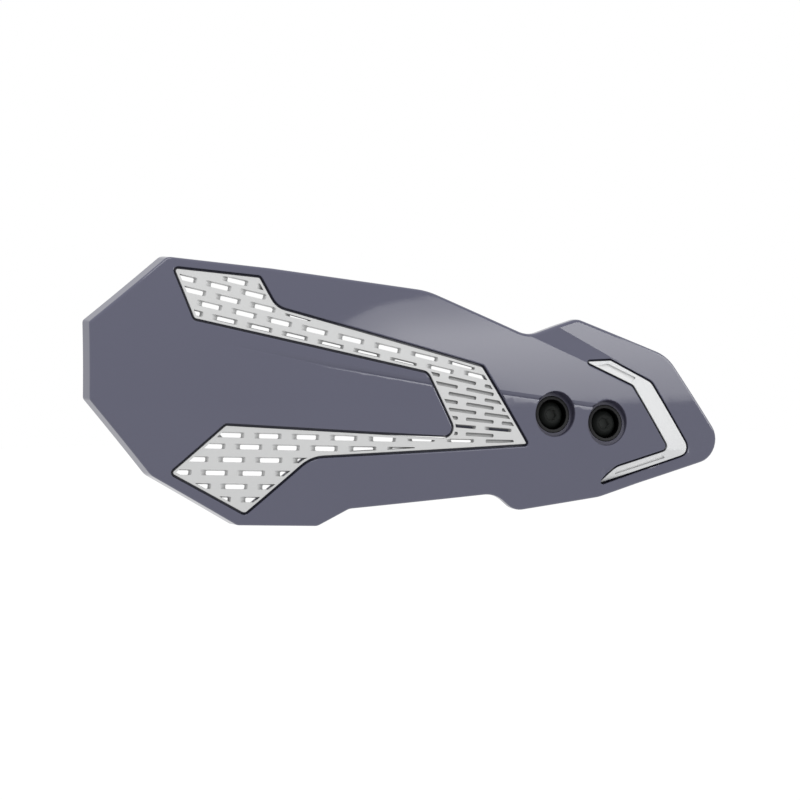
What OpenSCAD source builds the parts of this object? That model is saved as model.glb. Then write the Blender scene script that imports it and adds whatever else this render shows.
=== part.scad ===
// Motorcycle hand guard with its bar mount, in millimetres.
// X runs inboard along the handlebar, -Y faces forward and Z is up.
// The origin is the middle of the handlebar clamp.
// The shield is one crowned skin: every layer of it is the same barrel at another depth.

/* [Shield] */
// Radius of the shield's bow, seen from above
bow_r = 625; // [560:5:700]
// Radius of the shield's crown, seen from its end
crown_r = 260; // [240:5:320]
// Wall of the shield
wall = 3; // [2.6:0.1:3.4]
// Wall of the turned-back rim
rim_wall = 2.6; // [2:0.1:3.2]
// Depth of the turned-back rim below the face
rim_depth = 8.5; // [7:0.5:10]
// Drop from the raised middle to the inboard flange
flange_drop = 2.1; // [1.2:0.1:2.6]
// Width of the styling groove
groove_w = 1.1; // [0.8:0.1:1.6]
// Depth of the styling groove
groove_d = 0.35; // [0.2:0.05:0.6]

/* [Vent insert] */
// Depth of the insert's face below the shield's face
insert_sink = 0.4; // [0.2:0.1:0.6]
// Thickness of the insert
insert_t = 1.4; // [1.2:0.1:1.6]
// Open line around the insert
insert_gap = 1; // [0.7:0.1:1.3]
// Width of the ledge that carries the insert
ledge = 2.2; // [1.8:0.1:2.4]
// Width of the plain border around the vents
vent_border = 1.3; // [1:0.1:1.8]
// Height of a vent in the two blocks
vent_h = 2; // [1.6:0.1:2.2]
// Height of a vent in the diagonal leg
leg_vent_h = 1.5; // [1.2:0.1:1.8]
// Slope length at each end of a vent
vent_slope = 1.1; // [0.7:0.1:1.4]
// Depth of the blind vents
blind_d = 0.8; // [0.5:0.1:1]
// Length of a snap tab
tab_l = 5; // [4:0.5:6]
// Thickness of a snap tab
tab_t = 1.2; // [1:0.1:1.5]
// Reach of a tab's hook under the ledge
hook = 0.9; // [0.6:0.1:1.2]

/* [End trim] */
// Depth of the trim's face below the flange
trim_sink = 0.15; // [0.1:0.05:0.3]
// Thickness of the end trim
trim_t = 1.5; // [1.2:0.1:1.7]
// Open line around the trim
trim_gap = 0.7; // [0.5:0.1:0.9]
// Depth of the two long recesses in the trim
trim_recess = 0.8; // [0.5:0.1:1]
// Diameter of the trim's stakes
stake_d = 2.4; // [2:0.1:2.8]

/* [Fixings] */
// Inboard distance from the shield's middle to the fixings
fix_x = 75; // [72:0.5:78]
// Height of the fixings from the shield's middle
fix_z = -8.5; // [-11:0.5:-6]
// Distance between the two fixings
fix_pitch = 22.8; // [21:0.2:25]
// Upward tilt of the fixings
fix_tilt = 8; // [4:0.5:10]
// Turn of the pair, inboard end down
fix_roll = 9; // [5:0.5:12]
// Inboard lean of the fixings
fix_lean = 2; // [0:0.5:6]
// Open line round the cup in its seat
seat_gap = 1; // [0.7:0.1:1.2]
// Depth of the cup's rim below the shield's face
cup_sink = 2.4; // [2:0.1:3]
// Room between the bolt head and the cup's wall
head_gap = 0.5; // [0.4:0.1:0.8]
// Wall of the cup
cup_wall = 1; // [0.8:0.1:1.2]
// Height of the cup
cup_h = 5.2; // [4.8:0.1:5.8]
// Floor of the cup
cup_floor = 1.2; // [1:0.1:1.6]
// Floor of the boss under the cup
boss_floor = 2.5; // [2:0.1:3.5]
// Wall of the bosses round the seats
boss_wall = 1.8; // [1.6:0.1:2.4]
// Thread diameter of the shield bolts
bolt_d = 6; // [5:0.5:6]
// Head diameter of the shield bolts
head_d = 10.4; // [9.6:0.1:10.8]
// Head height of the shield bolts
head_h = 3.3; // [3:0.1:3.4]
// Hexagon key size of the shield bolts
key_af = 4; // [3:0.5:5]
// Size across flats of the shield nuts
nut_af = 10; // [9:0.5:11]
// Height of the shield nuts
nut_h = 5; // [4:0.2:6]
// Diameter of the shield washers
washer_d = 12; // [11:0.5:12.5]
// Thickness of all washers
washer_t = 1.2; // [0.8:0.1:1.6]
// Clearance of bolts and nuts in their holes
fit_gap = 0.25; // [0.15:0.05:0.4]

/* [Mounting arm] */
// Distance from the handlebar's middle to the shield's face at the fixings
reach = 60; // [56:1:70]
// Inboard offset of the clamp from the fixings
side = 13; // [8:1:18]
// Thickness of the rubber pad
pad_t = 2; // [1.5:0.1:3]
// Thickness of the arm's plate
plate_t = 5.5; // [4.5:0.5:7]
// Height of the arm's plate
plate_h = 21; // [19:0.5:23]
// Width of the arm's beam
beam_w = 9; // [8:0.5:10]
// Web and flange thickness of the beam
web_t = 3.2; // [2.8:0.1:3.8]
// Height of the beam at the plate
beam_h = 18; // [15:0.5:20]

/* [Bar clamp] */
// Diameter of the handlebar
bar_d = 22.2; // [20:0.1:25.4]
// Thickness of the rubber bar liner
liner_t = 1.5; // [1:0.1:2.5]
// Flange of the bar liner outside the clamp
liner_lip = 1.8; // [1.2:0.1:2.4]
// Width of the clamp along the bar
clamp_w = 22; // [18:1:28]
// Wall of the clamp around the liner
clamp_wall = 5; // [4:0.5:6.5]
// Open slit between the two clamp halves
slit = 1.5; // [1:0.1:2.5]
// Thickness of the clamp's lugs
lug_t = 8; // [7:0.5:10]
// Thread diameter of the clamp bolts
clamp_bolt_d = 5; // [4:0.5:5]
// Size across flats of the clamp nuts
clamp_nut_af = 8; // [7:0.5:9]
// Height of the clamp nuts
clamp_nut_h = 4; // [3.4:0.2:5]
// Diameter of the clamp washers
clamp_washer_d = 10; // [9:0.5:11]

/* [Hidden] */
$fn = 64;
fine = 256;

guard_grey = [0.40, 0.40, 0.45];
vent_white = [0.87, 0.87, 0.87];
trim_white = [0.93, 0.94, 0.94];
moulded_black = [0.12, 0.12, 0.13];
rubber_black = [0.07, 0.07, 0.07];
black_steel = [0.17, 0.17, 0.18];
zinc = [0.66, 0.67, 0.68];

// Corners are [x, z, radius], anticlockwise as seen from the front.
outline = [[-117, 3, 2], [-93.2, -25.3, 7], [-60.5, -44.6, 3], [-30.5, -46.2, 3.5],
           [-18.5, -40, 5], [40, -35.8, 5], [48.5, -42.6, 4], [84, -38.5, 20],
           [142.5, -23.8, 8.5], [114, 13.7, 11], [75.5, 28.2, 4.5], [53, 22, 9],
           [12.5, 40, 10], [-86.6, 53.6, 4], [-116.5, 30.3, 1.5]];
insert_shape = [[-86.8, -25.4, 0.8], [-58.8, -40.7, 1.5], [-34.5, -20.1, 5], [52.1, -17.5, 0.4],
                [33.5, 11.4, 1.5], [-47.2, 34.5, 5], [-52.8, 45.5, 1.5], [-84.3, 49.2, 0.8],
                [-77.9, 31.1, 1.2], [11.7, 10.3, 1.5], [24.5, -15, 3], [-66.9, -8.3, 1]];
trim_shape = [[84.2, -33.4, 0.3], [125.2, -22.7, 3.2], [106.6, 3.8, 5], [88.6, 12.4, 0.6],
              [78.3, 12.1, 0.3], [97.6, 3.4, 4], [114.4, -21.5, 2.2], [90.6, -27.5, 8]];
trim_upper_recess = [[83.4, 11.3, 0.2], [97.2, 5.0, 0.2], [99.2, 5.9, 0.2], [86.6, 11.5, 0.2]];
trim_lower_recess = [[90.2, -30.3, 0.2], [112.8, -24.6, 0.2], [111.2, -23.6, 0.2], [91.6, -28.9, 0.2]];
trim_stakes = [[92, 8.2], [108, -5], [119.5, -22.6]];
drop_zone = [[46, 60], [46, 0], [84, -30], [84.2, -70], [170, -70], [170, 60]];
below_trim = [[84, -34.6], [84, -70], [130, -70], [130, -22.6]];
groove_line = [[-78, 24.2], [-27, 13.3], [12, 6.2], [82, -4.2]];

// The shield is open behind the two blocks, and behind one row of vents in the leg between them.
upper_block = [[-77.9, 31.1, 1.2], [27, 6.8, 0.6], [36, 10.7, 0.6], [-47.2, 34.5, 5],
               [-52.8, 45.5, 1.5], [-84.3, 49.2, 0.8]];
lower_block = [[-86.8, -25.4, 0.8], [-58.8, -40.7, 1.5], [-34.5, -20.1, 5], [33, -19.2, 0.4],
               [33, -13.6, 0.4], [-66.9, -8.3, 1]];
leg_window = [[24.2, -12.2, 0.5], [46, -12.8, 0.5], [44.2, -9.6, 0.5], [22.6, -9.2, 0.5]];
upper_tabs = [[0, 0.3], [2, 0.72], [4, 0.5], [5, 0.55]];
lower_tabs = [[0, 0.5], [1, 0.4], [4, 0.8], [5, 0.5]];

// Vent rows in the two blocks: height at x = -60, first phase and tilt of the row.
upper_rows = [[44.1, 0.42], [40.7, 0.92], [36.7, 0.175], [32.8, 0.625], [28.95, 0.05]];
upper_tilt = 13.7;
lower_rows = [[-11.8, 0.08], [-16, 0.574], [-20.9, 0.12], [-25.8, 0.665], [-30.8, 0.21], [-35.6, 0.77]];
lower_tilt = 1.8;
row_left = -80;
leg_rows = 8;
leg_first_z = 5.56;
leg_row_step = 2.72;
leg_pitch = 14.7;
leg_vent_l = 11.5;

// Depth of the shield's face at a place on it.
function belly(z, off = 0) = bow_r - crown_r + sqrt(pow(crown_r - off, 2) - z * z);
function face_y(x, z) = bow_r - sqrt(pow(belly(z), 2) - x * x);
face_lean = asin(fix_x / belly(fix_z));

// Rounded outlines and their insets, from corners.
function unit(v) = v / norm(v);
function left_of(v) = [-v[1], v[0]];
function flat(p) = [p[0], p[1]];
function edge_in(c, i) = left_of(unit(flat(c[(i + 1) % len(c)]) - flat(c[i])));
function corner_in(c, i) = let (a = edge_in(c, (i + len(c) - 1) % len(c)), b = edge_in(c, i))
  (a + b) / (1 + a * b);
function turns_left(c, i) = let (a = edge_in(c, (i + len(c) - 1) % len(c)), b = edge_in(c, i))
  a[0] * b[1] - a[1] * b[0] > 0;
function inset(c, d) = [for (i = [0:len(c) - 1]) let (p = flat(c[i]) + d * corner_in(c, i))
  [p[0], p[1], max(0.15, c[i][2] + (turns_left(c, i) ? -d : d))]];
function arc_at(c, i, steps) =
  let (bend = turns_left(c, i) ? 1 : -1, r = c[i][2],
       mid = flat(c[i]) + bend * r * corner_in(c, i),
       a = -bend * edge_in(c, (i + len(c) - 1) % len(c)), b = -bend * edge_in(c, i),
       from = atan2(a[1], a[0]), sweep = bend * acos(min(1, a * b)))
  [for (k = [0:steps]) mid + r * [cos(from + sweep * k / steps), sin(from + sweep * k / steps)]];
function rounded(c) = [for (i = [0:len(c) - 1]) each arc_at(c, i, c[i][2] < 1 ? 1 : 4)];
function mitred(c) = [for (p = c) flat(p)];
function along(c, i, f) = flat(c[i]) * (1 - f) + flat(c[(i + 1) % len(c)]) * f;

// A solid whose front is the shield's face, sunk by off. A deeper one also ends further back.
module barrel(off) {
  back = 46 + 2 * off;
  translate([0, bow_r, 0]) rotate([0, 0, -107])
    rotate_extrude(angle = 34, $fn = fine) intersection() {
      translate([bow_r - crown_r, 0]) circle(r = crown_r - off, $fn = fine);
      translate([bow_r - back, -75]) square([back + 10, 150]);
    }
}

// Everything behind a flat cut that leaves the face along a line and falls to the line's left.
module behind_cut(a, b, fall, off) {
  pa = [a[0], face_y(a[0], a[1]), a[1]];
  pb = [b[0], face_y(b[0], b[1]), b[1]];
  mid = (pa + pb) / 2;
  u = unit(pb - pa);
  out = unit([mid[0], mid[1] - bow_r, mid[2] * 2.4]);
  n0 = unit(out - u * (out * u));
  n = n0 * cos(fall) + cross(n0, u) * sin(fall);
  v = cross(n, u);
  at = mid + n * 0.1;
  multmatrix([[u[0], v[0], n[0], at[0]], [u[1], v[1], n[1], at[1]],
              [u[2], v[2], n[2], at[2]], [0, 0, 0, 1]])
    translate([-300, -300, -300 - off]) cube([600, 600, 300]);
}

module prism(points) {
  translate([0, 60, 0]) rotate([90, 0, 0]) linear_extrude(height = 120) polygon(points);
}

// The raised middle is bounded inboard by three flat bands that fall to the flange.
module middle(off) {
  intersection() {
    behind_cut([50.3, 24], flat(trim_shape[5]), fall_angle(7.3), off);
    behind_cut(flat(trim_shape[5]), flat(trim_shape[6]), fall_angle(8.2), off);
    behind_cut(flat(trim_shape[6]), flat(trim_shape[7]), fall_angle(4.6), off);
  }
}

// The shield's whole face, sunk by off. Below the trim the drop fades out towards the tip.
module face_solid(off) {
  difference() {
    barrel(off);
    difference() {
      prism(drop_zone);
      middle(off);
      barrel(flange_drop + off);
      intersection() {
        prism(below_trim);
        behind_cut([84, -33.5], [92, -60], 7, off);
      }
    }
  }
}
function fall_angle(width) = atan(flange_drop / width);

module groove() {
  for (i = [0:len(groove_line) - 2])
    let (a = groove_line[i], b = groove_line[i + 1], n = left_of(unit(b - a)) * groove_w / 2)
      difference() {
        prism([a - n, b - n, b + n, a + n]);
        barrel(groove_d);
      }
}

// Places from the shield's own middle, and from the middle of the two fixings.
module shield_frame() {
  translate([-side - fix_x, -reach - face_y(fix_x, fix_z), -fix_z]) children();
}
module fixing_frame() {
  translate([-side, -reach, 0]) rotate([0, 0, fix_lean]) rotate([-fix_tilt, 0, 0])
    rotate([0, fix_roll, 0]) children();
}
module fixing(end) {
  fixing_frame() translate([end * fix_pitch / 2, 0, 0]) rotate([-90, 0, 0]) children();
}

cup_back = cup_sink + cup_h;
boss_back = cup_back + boss_floor;
pad_back = boss_back + pad_t;
plate_back = pad_back + plate_t;
cup_r = head_d / 2 + head_gap + cup_wall;
seat_d = 2 * (cup_r + seat_gap);
boss_d = seat_d + 2 * boss_wall;
// Both bolts are parallel, so the cups step with the face between them.
function step(end) = end * tan(face_lean - fix_lean) * fix_pitch / 2;

module fixing_slab(d, from, to) {
  for (end = [-1, 1])
    fixing(end) translate([0, 0, from]) cylinder(d = d, h = to - from);
  fixing_frame() translate([-fix_pitch / 2, from, -d / 2]) cube([fix_pitch, to - from, d]);
}

module shell_skin() {
  difference() {
    difference() {
      intersection() {
        prism(rounded(outline));
        face_solid(0);
      }
      barrel(rim_depth);
    }
    intersection() {
      prism(mitred(inset(outline, rim_wall)));
      face_solid(wall);
    }
  }
}

// What the insert and the trim leave open in the skin.
module seats() {
  difference() {
    prism(rounded(inset(insert_shape, -insert_gap)));
    barrel(insert_sink + insert_t);
  }
  prism(rounded(inset(upper_block, ledge)));
  prism(rounded(inset(lower_block, ledge)));
  prism(rounded(leg_window));
  difference() {
    prism(rounded(inset(trim_shape, -trim_gap)));
    middle(trim_sink + trim_t);
  }
  for (p = trim_stakes)
    translate([p[0], 0, p[1]]) rotate([-90, 0, 0]) cylinder(d = stake_d + 0.3, h = 40);
}

module guard_shell() {
  color(guard_grey) difference() {
    union() {
      shield_frame() difference() {
        difference() {
          shell_skin();
          seats();
        }
        groove();
      }
      intersection() {
        fixing_slab(boss_d, -4, boss_back);
        shield_frame() barrel(wall / 2);
      }
    }
    for (end = [-1, 1])
      fixing(end) {
        translate([0, 0, -6]) cylinder(d = seat_d, h = cup_sink + step(end) + 6);
        cylinder(r = cup_r + fit_gap, h = cup_back + step(end));
        cylinder(d = bolt_d + 2 * fit_gap, h = boss_back + 1);
      }
  }
}

// One vent: a slot that narrows at both ends towards the back.
module vent(x, z, tilt, l, h, depth) {
  y = face_y(x, z) + insert_sink;
  translate([x, y, z]) rotate([0, tilt, 0]) rotate([0, 0, asin(x / belly(z))])
    translate([0, 0, -h / 2]) linear_extrude(height = h)
      polygon([[-l / 2, -3], [l / 2, -3], [l / 2, 0], [l / 2 - vent_slope, depth],
               [-l / 2 + vent_slope, depth], [-l / 2, 0]]);
}
function row_x(s, first, grow) = row_left + first * s + grow * s * s;
through = insert_t + 2;

module block_vents() {
  for (row = upper_rows, k = [0:8])
    let (s = row[1] + k, x = row_x(s, 12.4, 0.18), z = row[0] - tan(upper_tilt) * (x + 60))
      if (k < 3 || row[0] < 34)
        vent(x, z, upper_tilt, 9.6 + 0.25 * s, vent_h, through);
  for (row = lower_rows, k = [0:8])
    let (s = row[1] + k, x = row_x(s, 13.5, 0.18), z = row[0] - tan(lower_tilt) * (x + 60))
      if (k < 4 || row[0] > -17)
        vent(x, z, lower_tilt, 10.4 + 0.15 * s, vent_h, through);
}
module leg_vents() {
  for (k = [0:leg_rows - 1], m = [-1:1])
    let (x = 25.3 + 7.2 * (k % 2) + leg_pitch * m, tilt = 13 - 1.2 * k,
         z = leg_first_z - leg_row_step * k - tan(tilt) * (x - 30))
      vent(x, z, tilt, leg_vent_l, leg_vent_h, k == 6 ? through : blind_d);
}

// A tongue behind the insert, with a hook that snaps under the shield's ledge.
module snap_tab(at, inward) {
  root = insert_sink + insert_t - 0.6;
  catch = wall + fit_gap;
  tip = catch + tab_t;
  translate([at[0], face_y(at[0], at[1]), at[1]]) rotate([0, -atan2(inward[1], inward[0]), 0])
    linear_extrude(height = tab_l, center = true)
      polygon([[0, root], [tab_t, root], [tab_t, tip], [0.2, tip],
               [-hook, catch + 0.4], [-hook, catch], [0, catch]]);
}

module vent_insert() {
  color(vent_white) shield_frame() {
    difference() {
      intersection() {
        prism(rounded(insert_shape));
        barrel(insert_sink);
      }
      barrel(insert_sink + insert_t);
      intersection() {
        prism(rounded(inset(insert_shape, vent_border)));
        union() {
          block_vents();
          leg_vents();
        }
      }
    }
    for (block = [[upper_block, upper_tabs], [lower_block, lower_tabs]], t = block[1])
      let (edge = inset(block[0], ledge + fit_gap))
        snap_tab(along(edge, t[0], t[1]), edge_in(edge, t[0]));
  }
}

module end_trim() {
  back = trim_sink + trim_t;
  color(trim_white) shield_frame() {
    difference() {
      intersection() {
        prism(rounded(trim_shape));
        middle(trim_sink);
      }
      middle(back);
      for (recess = [trim_upper_recess, trim_lower_recess])
        difference() {
          prism(mitred(recess));
          middle(trim_sink + trim_recess);
        }
    }
    for (p = trim_stakes) {
      top = face_y(p[0], p[1]) + back;
      intersection() {
        translate([p[0], top - 3, p[1]]) rotate([-90, 0, 0]) cylinder(d = stake_d, h = 14);
        difference() {
          middle(back - 0.4);
          barrel(flange_drop + wall + 1.8);
        }
      }
    }
  }
}

module cup(end) {
  color(moulded_black) fixing(end) translate([0, 0, step(end)]) difference() {
    translate([0, 0, cup_sink]) cylinder(r = cup_r, h = cup_h);
    translate([0, 0, cup_sink - 1]) cylinder(r = cup_r - cup_wall, h = cup_h - cup_floor + 1);
    cylinder(d = bolt_d + 2 * fit_gap, h = cup_back + 1);
  }
}

module hexagon(af, h) { cylinder(d = af / cos(30), h = h, $fn = 6); }

bolt_seat = cup_back - cup_floor;
bolt_end = plate_back + washer_t + nut_h + 1.2;

module shield_bolt(end) {
  shank = bolt_end - bolt_seat - step(end) - 0.8;
  r = head_d / 2;
  h = head_h;
  color(black_steel) fixing(end) translate([0, 0, bolt_seat + step(end)]) difference() {
    union() {
      rotate_extrude() polygon([[0, 0], [r, 0], [r, -0.25 * h], [0.95 * r, -0.5 * h], [0.85 * r, -0.74 * h],
                                [0.72 * r, -0.91 * h], [0.6 * r, -h], [0, -h]]);
      cylinder(d = bolt_d, h = shank);
      translate([0, 0, shank]) cylinder(d1 = bolt_d, d2 = bolt_d - 1.6, h = 0.8);
    }
    translate([0, 0, -h - 1]) hexagon(key_af, h);
  }
}

module ring(d, hole, h) {
  difference() {
    cylinder(d = d, h = h);
    translate([0, 0, -1]) cylinder(d = hole, h = h + 2);
  }
}

module nut(af, hole, h) {
  difference() {
    intersection() {
      hexagon(af, h);
      rotate_extrude() polygon([[0, 0], [af * 0.53, 0], [af * 0.58, h * 0.12], [af * 0.58, h * 0.88],
                                [af * 0.53, h], [0, h]]);
    }
    translate([0, 0, -1]) cylinder(d = hole, h = h + 2);
  }
}

module shield_washer(end) {
  color(zinc) fixing(end) translate([0, 0, plate_back]) ring(washer_d, bolt_d + 2 * fit_gap, washer_t);
}
module shield_nut(end) {
  color(zinc) fixing(end) translate([0, 0, plate_back + washer_t]) nut(nut_af, bolt_d + 0.1, nut_h);
}

module boss_pad() {
  color(rubber_black) difference() {
    fixing_slab(boss_d - 1, boss_back, pad_back);
    for (end = [-1, 1])
      fixing(end) cylinder(d = bolt_d + 2 * fit_gap, h = pad_back + 1);
  }
}

liner_r = bar_d / 2 + liner_t;
clamp_r = liner_r + clamp_wall;
lug_z = liner_r + 2 + clamp_bolt_d / 2 + 2;
lug_top = lug_z + clamp_washer_d / 2 + 0.5;

// Half a clamp: front is -1 for the arm's saddle and 1 for the cap.
module clamp_half(front) {
  w = clamp_w;
  difference() {
    union() {
      rotate([0, 90, 0]) cylinder(r = clamp_r, h = w, center = true);
      for (up = [-1, 1]) lug(up, front);
    }
    rotate([0, 90, 0]) cylinder(r = liner_r, h = w + 2, center = true);
    translate([-w, front < 0 ? -slit / 2 : slit / 2 - 60, -40]) cube([2 * w, 60, 80]);
    for (up = [-1, 1])
      translate([0, 0, up * lug_z]) rotate([90, 0, 0])
        cylinder(d = clamp_bolt_d + 2 * fit_gap, h = 80, center = true);
  }
}
module lug(up, front) {
  y0 = front < 0 ? -slit / 2 - lug_t : 0;
  r = 4;
  translate([0, y0, 0]) rotate([-90, 0, 0]) linear_extrude(height = lug_t + slit / 2)
    polygon(rounded([[-clamp_w / 2, up > 0 ? -lug_top : 0, up > 0 ? r : 0.2],
                     [clamp_w / 2, up > 0 ? -lug_top : 0, up > 0 ? r : 0.2],
                     [clamp_w / 2, up > 0 ? 0 : lug_top, up > 0 ? 0.2 : r],
                     [-clamp_w / 2, up > 0 ? 0 : lug_top, up > 0 ? 0.2 : r]]));
}

// Where the beam meets the arm's plate, in the clamp's frame.
plate_mid = [-side, -reach, 0] + (plate_back - 1) * [-sin(fix_lean) * cos(fix_tilt),
                                                     cos(fix_lean) * cos(fix_tilt), -sin(fix_tilt)];
beam_end = -liner_r - 2;

module beam_plan(w) {
  translate([0, 0, -40]) linear_extrude(height = 80)
    polygon([[plate_mid[0] - w / 2, plate_mid[1]], [plate_mid[0] + w / 2, plate_mid[1]],
             [w / 2, beam_end], [-w / 2, beam_end]]);
}
module beam_side(trim) {
  h0 = beam_h / 2 - trim;
  h1 = clamp_r * 0.8 - trim;
  rotate([90, 0, 90]) translate([0, 0, -40]) linear_extrude(height = 80)
    polygon([[plate_mid[1] + trim * 0.6, plate_mid[2] - h0], [beam_end - trim * 1.6, -h1],
             [beam_end - trim * 1.6, h1], [plate_mid[1] + trim * 0.6, plate_mid[2] + h0]]);
}

module mount_arm() {
  color(moulded_black) difference() {
    union() {
      fixing_slab(plate_h, pad_back, plate_back);
      intersection() {
        beam_plan(beam_w);
        beam_side(0);
      }
      clamp_half(-1);
    }
    for (s = [-1, 1])
      intersection() {
        translate([s * (beam_w / 2 + web_t / 2), 0, 0]) beam_plan(beam_w);
        beam_side(web_t);
      }
    rotate([0, 90, 0]) cylinder(r = liner_r, h = clamp_w + 2, center = true);
    for (end = [-1, 1])
      fixing(end) {
        translate([0, 0, pad_back - 1]) cylinder(d = bolt_d + 2 * fit_gap, h = plate_t + 2);
        translate([0, 0, plate_back]) cylinder(d = washer_d + 1, h = 20);
      }
    for (up = [-1, 1])
      translate([0, -slit / 2 - lug_t - 1, up * lug_z]) rotate([-90, 0, 0])
        hexagon(clamp_nut_af + 2 * fit_gap, clamp_nut_h + 1);
  }
}

module clamp_cap() { color(moulded_black) clamp_half(1); }

module bar_liner(front) {
  w = clamp_w;
  color(rubber_black) difference() {
    union() {
      rotate([0, 90, 0]) cylinder(r = liner_r, h = w + 2 * liner_lip, center = true);
      for (s = [-1, 1])
        translate([s * (w + liner_lip) / 2, 0, 0]) rotate([0, 90, 0])
          cylinder(r = liner_r + liner_lip, h = liner_lip, center = true);
    }
    rotate([0, 90, 0]) cylinder(r = bar_d / 2, h = w + 20, center = true);
    translate([-w, front < 0 ? -slit / 2 : slit / 2 - 60, -30]) cube([2 * w, 60, 60]);
  }
}

lug_face = slit / 2 + lug_t;
clamp_head_h = clamp_bolt_d;
clamp_bolt_l = 2 * lug_face + washer_t + 1;

module clamp_bolt(up) {
  color(black_steel) translate([0, lug_face + washer_t, up * lug_z]) rotate([90, 0, 0]) difference() {
    union() {
      translate([0, 0, -clamp_head_h]) cylinder(d = clamp_bolt_d * 1.7, h = clamp_head_h);
      cylinder(d = clamp_bolt_d, h = clamp_bolt_l);
    }
    translate([0, 0, -clamp_head_h - 1]) hexagon(clamp_bolt_d * 0.8, clamp_head_h * 0.5 + 1);
  }
}
module clamp_washer(up) {
  color(zinc) translate([0, lug_face, up * lug_z]) rotate([-90, 0, 0])
    ring(clamp_washer_d, clamp_bolt_d + 2 * fit_gap, washer_t);
}
module clamp_nut(up) {
  color(zinc) translate([0, -lug_face, up * lug_z]) rotate([-90, 0, 0])
    nut(clamp_nut_af, clamp_bolt_d + 0.1, clamp_nut_h);
}

guard_shell();
vent_insert();
end_trim();
cup(-1);  // cup_outboard
cup(1);  // cup_inboard
shield_bolt(-1);  // shield_bolt_outboard
shield_bolt(1);  // shield_bolt_inboard
shield_washer(-1);  // shield_washer_outboard
shield_washer(1);  // shield_washer_inboard
shield_nut(-1);  // shield_nut_outboard
shield_nut(1);  // shield_nut_inboard
boss_pad();
mount_arm();
clamp_cap();
bar_liner(-1);  // bar_liner_front
bar_liner(1);  // bar_liner_rear
clamp_bolt(1);  // clamp_bolt_upper
clamp_bolt(-1);  // clamp_bolt_lower
clamp_washer(1);  // clamp_washer_upper
clamp_washer(-1);  // clamp_washer_lower
clamp_nut(1);  // clamp_nut_upper
clamp_nut(-1);  // clamp_nut_lower
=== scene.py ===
import math

import bmesh
import bpy
from mathutils import Matrix, Vector
from mathutils.geometry import delaunay_2d_cdt


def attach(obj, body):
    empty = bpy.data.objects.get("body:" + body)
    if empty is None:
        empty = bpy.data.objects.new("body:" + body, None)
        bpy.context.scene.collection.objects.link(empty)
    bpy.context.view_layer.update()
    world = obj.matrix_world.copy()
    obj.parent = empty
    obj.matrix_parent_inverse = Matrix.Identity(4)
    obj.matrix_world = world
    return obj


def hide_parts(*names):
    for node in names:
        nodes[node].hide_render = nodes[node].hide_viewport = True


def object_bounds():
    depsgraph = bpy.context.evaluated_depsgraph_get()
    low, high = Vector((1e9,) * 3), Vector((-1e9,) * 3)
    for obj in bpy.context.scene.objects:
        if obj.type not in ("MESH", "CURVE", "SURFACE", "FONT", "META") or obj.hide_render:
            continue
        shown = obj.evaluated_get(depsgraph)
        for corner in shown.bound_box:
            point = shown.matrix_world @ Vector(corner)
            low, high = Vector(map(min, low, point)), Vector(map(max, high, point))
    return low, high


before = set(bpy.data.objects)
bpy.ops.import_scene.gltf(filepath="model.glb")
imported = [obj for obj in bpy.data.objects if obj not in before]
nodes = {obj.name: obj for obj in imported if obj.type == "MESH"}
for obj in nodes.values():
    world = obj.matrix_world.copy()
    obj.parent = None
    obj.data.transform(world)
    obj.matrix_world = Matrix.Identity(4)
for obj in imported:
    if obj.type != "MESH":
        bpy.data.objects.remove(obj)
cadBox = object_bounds()
mm = 0.001

# How fine the meshes are, in mm, with the weld and the sliver in metres.
fineness = {
    "face": 2.2, "backTimes": 1.5, "ledge": 4.0, "plate": 3.0, "trim": 1.5, "card": 1.5,
    "clear": 0.45, "rows": 0.866,    # shares of a grid: free of the loops, and from row to row
    "straight": 3.0, "arc": 0.8, "leastRadius": 0.04, "round": 48,
    "weld": 4e-6, "sliver": 2e-6,
}
midArc = 0.3                         # a quarter circle's middle, as a share of its radius
roundAngles = [2 * math.pi * i / fineness["round"] for i in range(fineness["round"])]

# The shield's own frame: x along the guard, z up, depth behind the crowned face, all in mm.
shield = {
    "bow": 625, "crown": 260,        # radii of the face, from above and from the end
    "middle": (-88, -64.655, 8.5),   # the face's middle, in the row's frame
    "wall": 3, "rimWall": 2.6, "rimDepth": 8.5, "rimInboard": 3.7,
    "rimRuns": (-45, 35),            # the rim gets shallower from the one x to the other
    "flangeDrop": 2.1,               # how far the inboard flange lies below the raised middle
    "edge": 1.0, "edgeRing": 0.5, "lipRound": 0.35,
    # into the wall behind the rim: inset, depth, and share of what the rim's depth loses inboard
    "hollow": ((0, 0.15, 0.85), (0.3, 0.05, 0.25), (1.0, 0, 0)),
    "grooveAbove": 1.0, "grooveBelow": 0.75, "grooveDeepest": -0.35, "grooveDepth": 0.42,
    "grooveFades": (-80, -5), "grooveSlack": 0.01,
    "slope": 0.05, "slopeWidth": 0.5,   # a faint slope below the groove, which catches the light
}
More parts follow.
